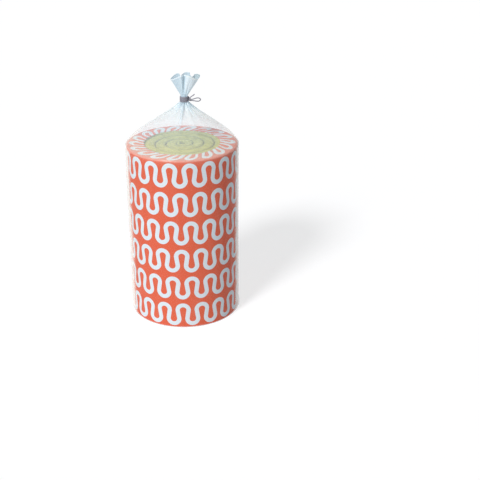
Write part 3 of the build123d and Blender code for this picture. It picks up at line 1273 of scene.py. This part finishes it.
# %% Material: clear film, its colour
tint_and_shade_value = add_node(tree, "ShaderNodeAttribute", attribute_name="tint_and_shade").outputs["Fac"]
film_tone = add_node(tree, "ShaderNodeValToRGB", {"Fac": tint_and_shade_value})
clear_end, grey_end = film_tone.color_ramp.elements
clear_end.position, clear_end.color = 0.0, srgb(251, 251, 238)
grey_end.position, grey_end.color = 1.0, srgb(148, 168, 172)
for tone_at, tone in ((0.2, (240, 249, 254)), (0.5, (217, 234, 243)), (0.75, (190, 208, 219))):
    film_tone.color_ramp.elements.new(tone_at).color = srgb(*tone)
finish_surface(
    tree,
    {
        "Base Color": film_tone.outputs["Color"],
        "Roughness": 0.22,
        "Specular IOR Level": 0.5,
        # The film glows a little, bluish: painted light that keeps its shaded side pale.
        "Emission Color": (0.80, 0.92, 1.0, 1.0),
        "Emission Strength": 0.15,
        "Alpha": film_alpha,
        "Normal": bump(tree, crinkles["Height"], 0.08, 0.003),
    },
)
print("material", clear_material.name)

# %% The clear bag's mesh
centre = len(bag_rings) * bag_columns
base_faces = [[centre, (column + 1) % bag_columns, column] for column in range(bag_columns)]
base_centre = bag_rings[0].mean(axis=0).tolist()
film_bag = rings_to_mesh("film_bag", bag_rings, clear_material, [base_centre], base_faces)
for attribute_name, values in (("haze", bag_haze), ("tint_and_shade", bag_tint_and_shade)):
    attribute = film_bag.data.attributes.new(attribute_name, "FLOAT", "POINT")
    every_point = np.append(np.ravel(values), values[0][0])
    attribute.data.foreach_set("value", every_point.astype(np.float32))
outer_count = len(film_bag.data.vertices)
give_thickness(film_bag, film_thickness)
print("film_bag has", outer_count, "points outside and", len(film_bag.data.vertices), "in all")

# %% The clear bag as an object
# The inside of the mouth gets painted shade and looks darker, most of all towards its right corner.
# The points of the inner wall come second in the mesh.
shade_from_x, shade_width = 0.06, 0.02
wall_points = np.array([vertex.co for vertex in film_bag.data.vertices])
inside_mouth = wall_points[:, 2] > neck_top_z
inside_mouth[:outer_count] = False
tint_and_shade_data = film_bag.data.attributes["tint_and_shade"].data
wall_tint_and_shade = np.zeros(len(wall_points), np.float32)
tint_and_shade_data.foreach_get("value", wall_tint_and_shade)
painted_mouth_shade = 0.84 + 0.14 * np.clip((wall_points[:, 0] - shade_from_x) / shade_width, 0, 1)
wall_tint_and_shade[inside_mouth] = painted_mouth_shade[inside_mouth]
tint_and_shade_data.foreach_set("value", wall_tint_and_shade)
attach(film_bag, "root")
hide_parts("clear_bag")
print("film_bag has", len(film_bag.data.polygons), "faces")

# %% [markdown]
# ## The floor, the light and the background
#
# A soft key light from the front left makes the bright upright band on the roll, and a weak
# even light from all round fills the shaded side. The key is a sun and the fill is the world,
# so the level is the same everywhere. The floor and the background are white to the camera,
# and the floor keeps the object's shadow.

# %% Floor
def seen_directly(tree):
    """One for what the camera sees, also off or through a shiny surface, and otherwise zero."""
    path = add_node(tree, "ShaderNodeLightPath").outputs
    shiny = calculate(tree, "MAXIMUM", path["Is Glossy Ray"], path["Is Transmission Ray"])
    return calculate(tree, "MAXIMUM", path["Is Camera Ray"], shiny)


floor_material, tree = new_material("studio_floor")
floor_lit = result(tree, "ShaderNodeBsdfDiffuse", {"Color": (0.45, 0.45, 0.46, 1.0)})
floor_glow = result(tree, "ShaderNodeEmission", {"Color": (0.68, 0.68, 0.68, 1.0), "Strength": 1.0})
floor_seen = result(tree, "ShaderNodeAddShader", {0: floor_lit, 1: floor_glow})
floor_bounce = result(tree, "ShaderNodeBsdfDiffuse", {"Color": (0.80, 0.80, 0.80, 1.0)})
floor_mix = result(tree, "ShaderNodeMixShader", {0: seen_directly(tree), 1: floor_bounce, 2: floor_seen})
add_node(tree, "ShaderNodeOutputMaterial", {"Surface": floor_mix})
floor_half = 30.0
floor_corners = [(-floor_half, -floor_half), (floor_half, -floor_half)]
floor_corners += [(floor_half, floor_half), (-floor_half, floor_half)]
floor_mesh = bpy.data.meshes.new("floor")
floor_mesh.from_pydata([(x, y, 0) for x, y in floor_corners], [], [(0, 1, 2, 3)])
floor_mesh.materials.append(floor_material)
floor = add_object("floor", floor_mesh)
print("the floor is", 2 * floor_half, "m wide")

# %% World and key light
world = bpy.data.worlds.new("studio")
scene.world = world
world.use_nodes = True
tree = world.node_tree
tree.nodes.clear()
fill_light = result(tree, "ShaderNodeBackground", {"Color": (0.94, 0.97, 1.0, 1.0), "Strength": 0.26})
white_back = result(tree, "ShaderNodeBackground", {"Color": (1.0, 1.0, 1.0, 1.0), "Strength": 1.0})
world_mix = result(tree, "ShaderNodeMixShader", {0: seen_directly(tree), 1: fill_light, 2: white_back})
add_node(tree, "ShaderNodeOutputWorld", {"Surface": world_mix})

key_data = bpy.data.lights.new("key", "SUN")
key_data.energy = 2.4
key_data.angle = radians(14)
key_azimuth, key_elevation = radians(-33), radians(38)
key_way = Vector((
    sin(key_azimuth) * cos(key_elevation),
    -cos(key_azimuth) * cos(key_elevation),
    sin(key_elevation),
))
key = add_object("key", key_data)
key.rotation_euler = key_way.to_track_quat("Z", "Y").to_euler()
scene.view_settings.view_transform = "Standard"
print("the key light stands", round(degrees(key_elevation)), "degrees high")
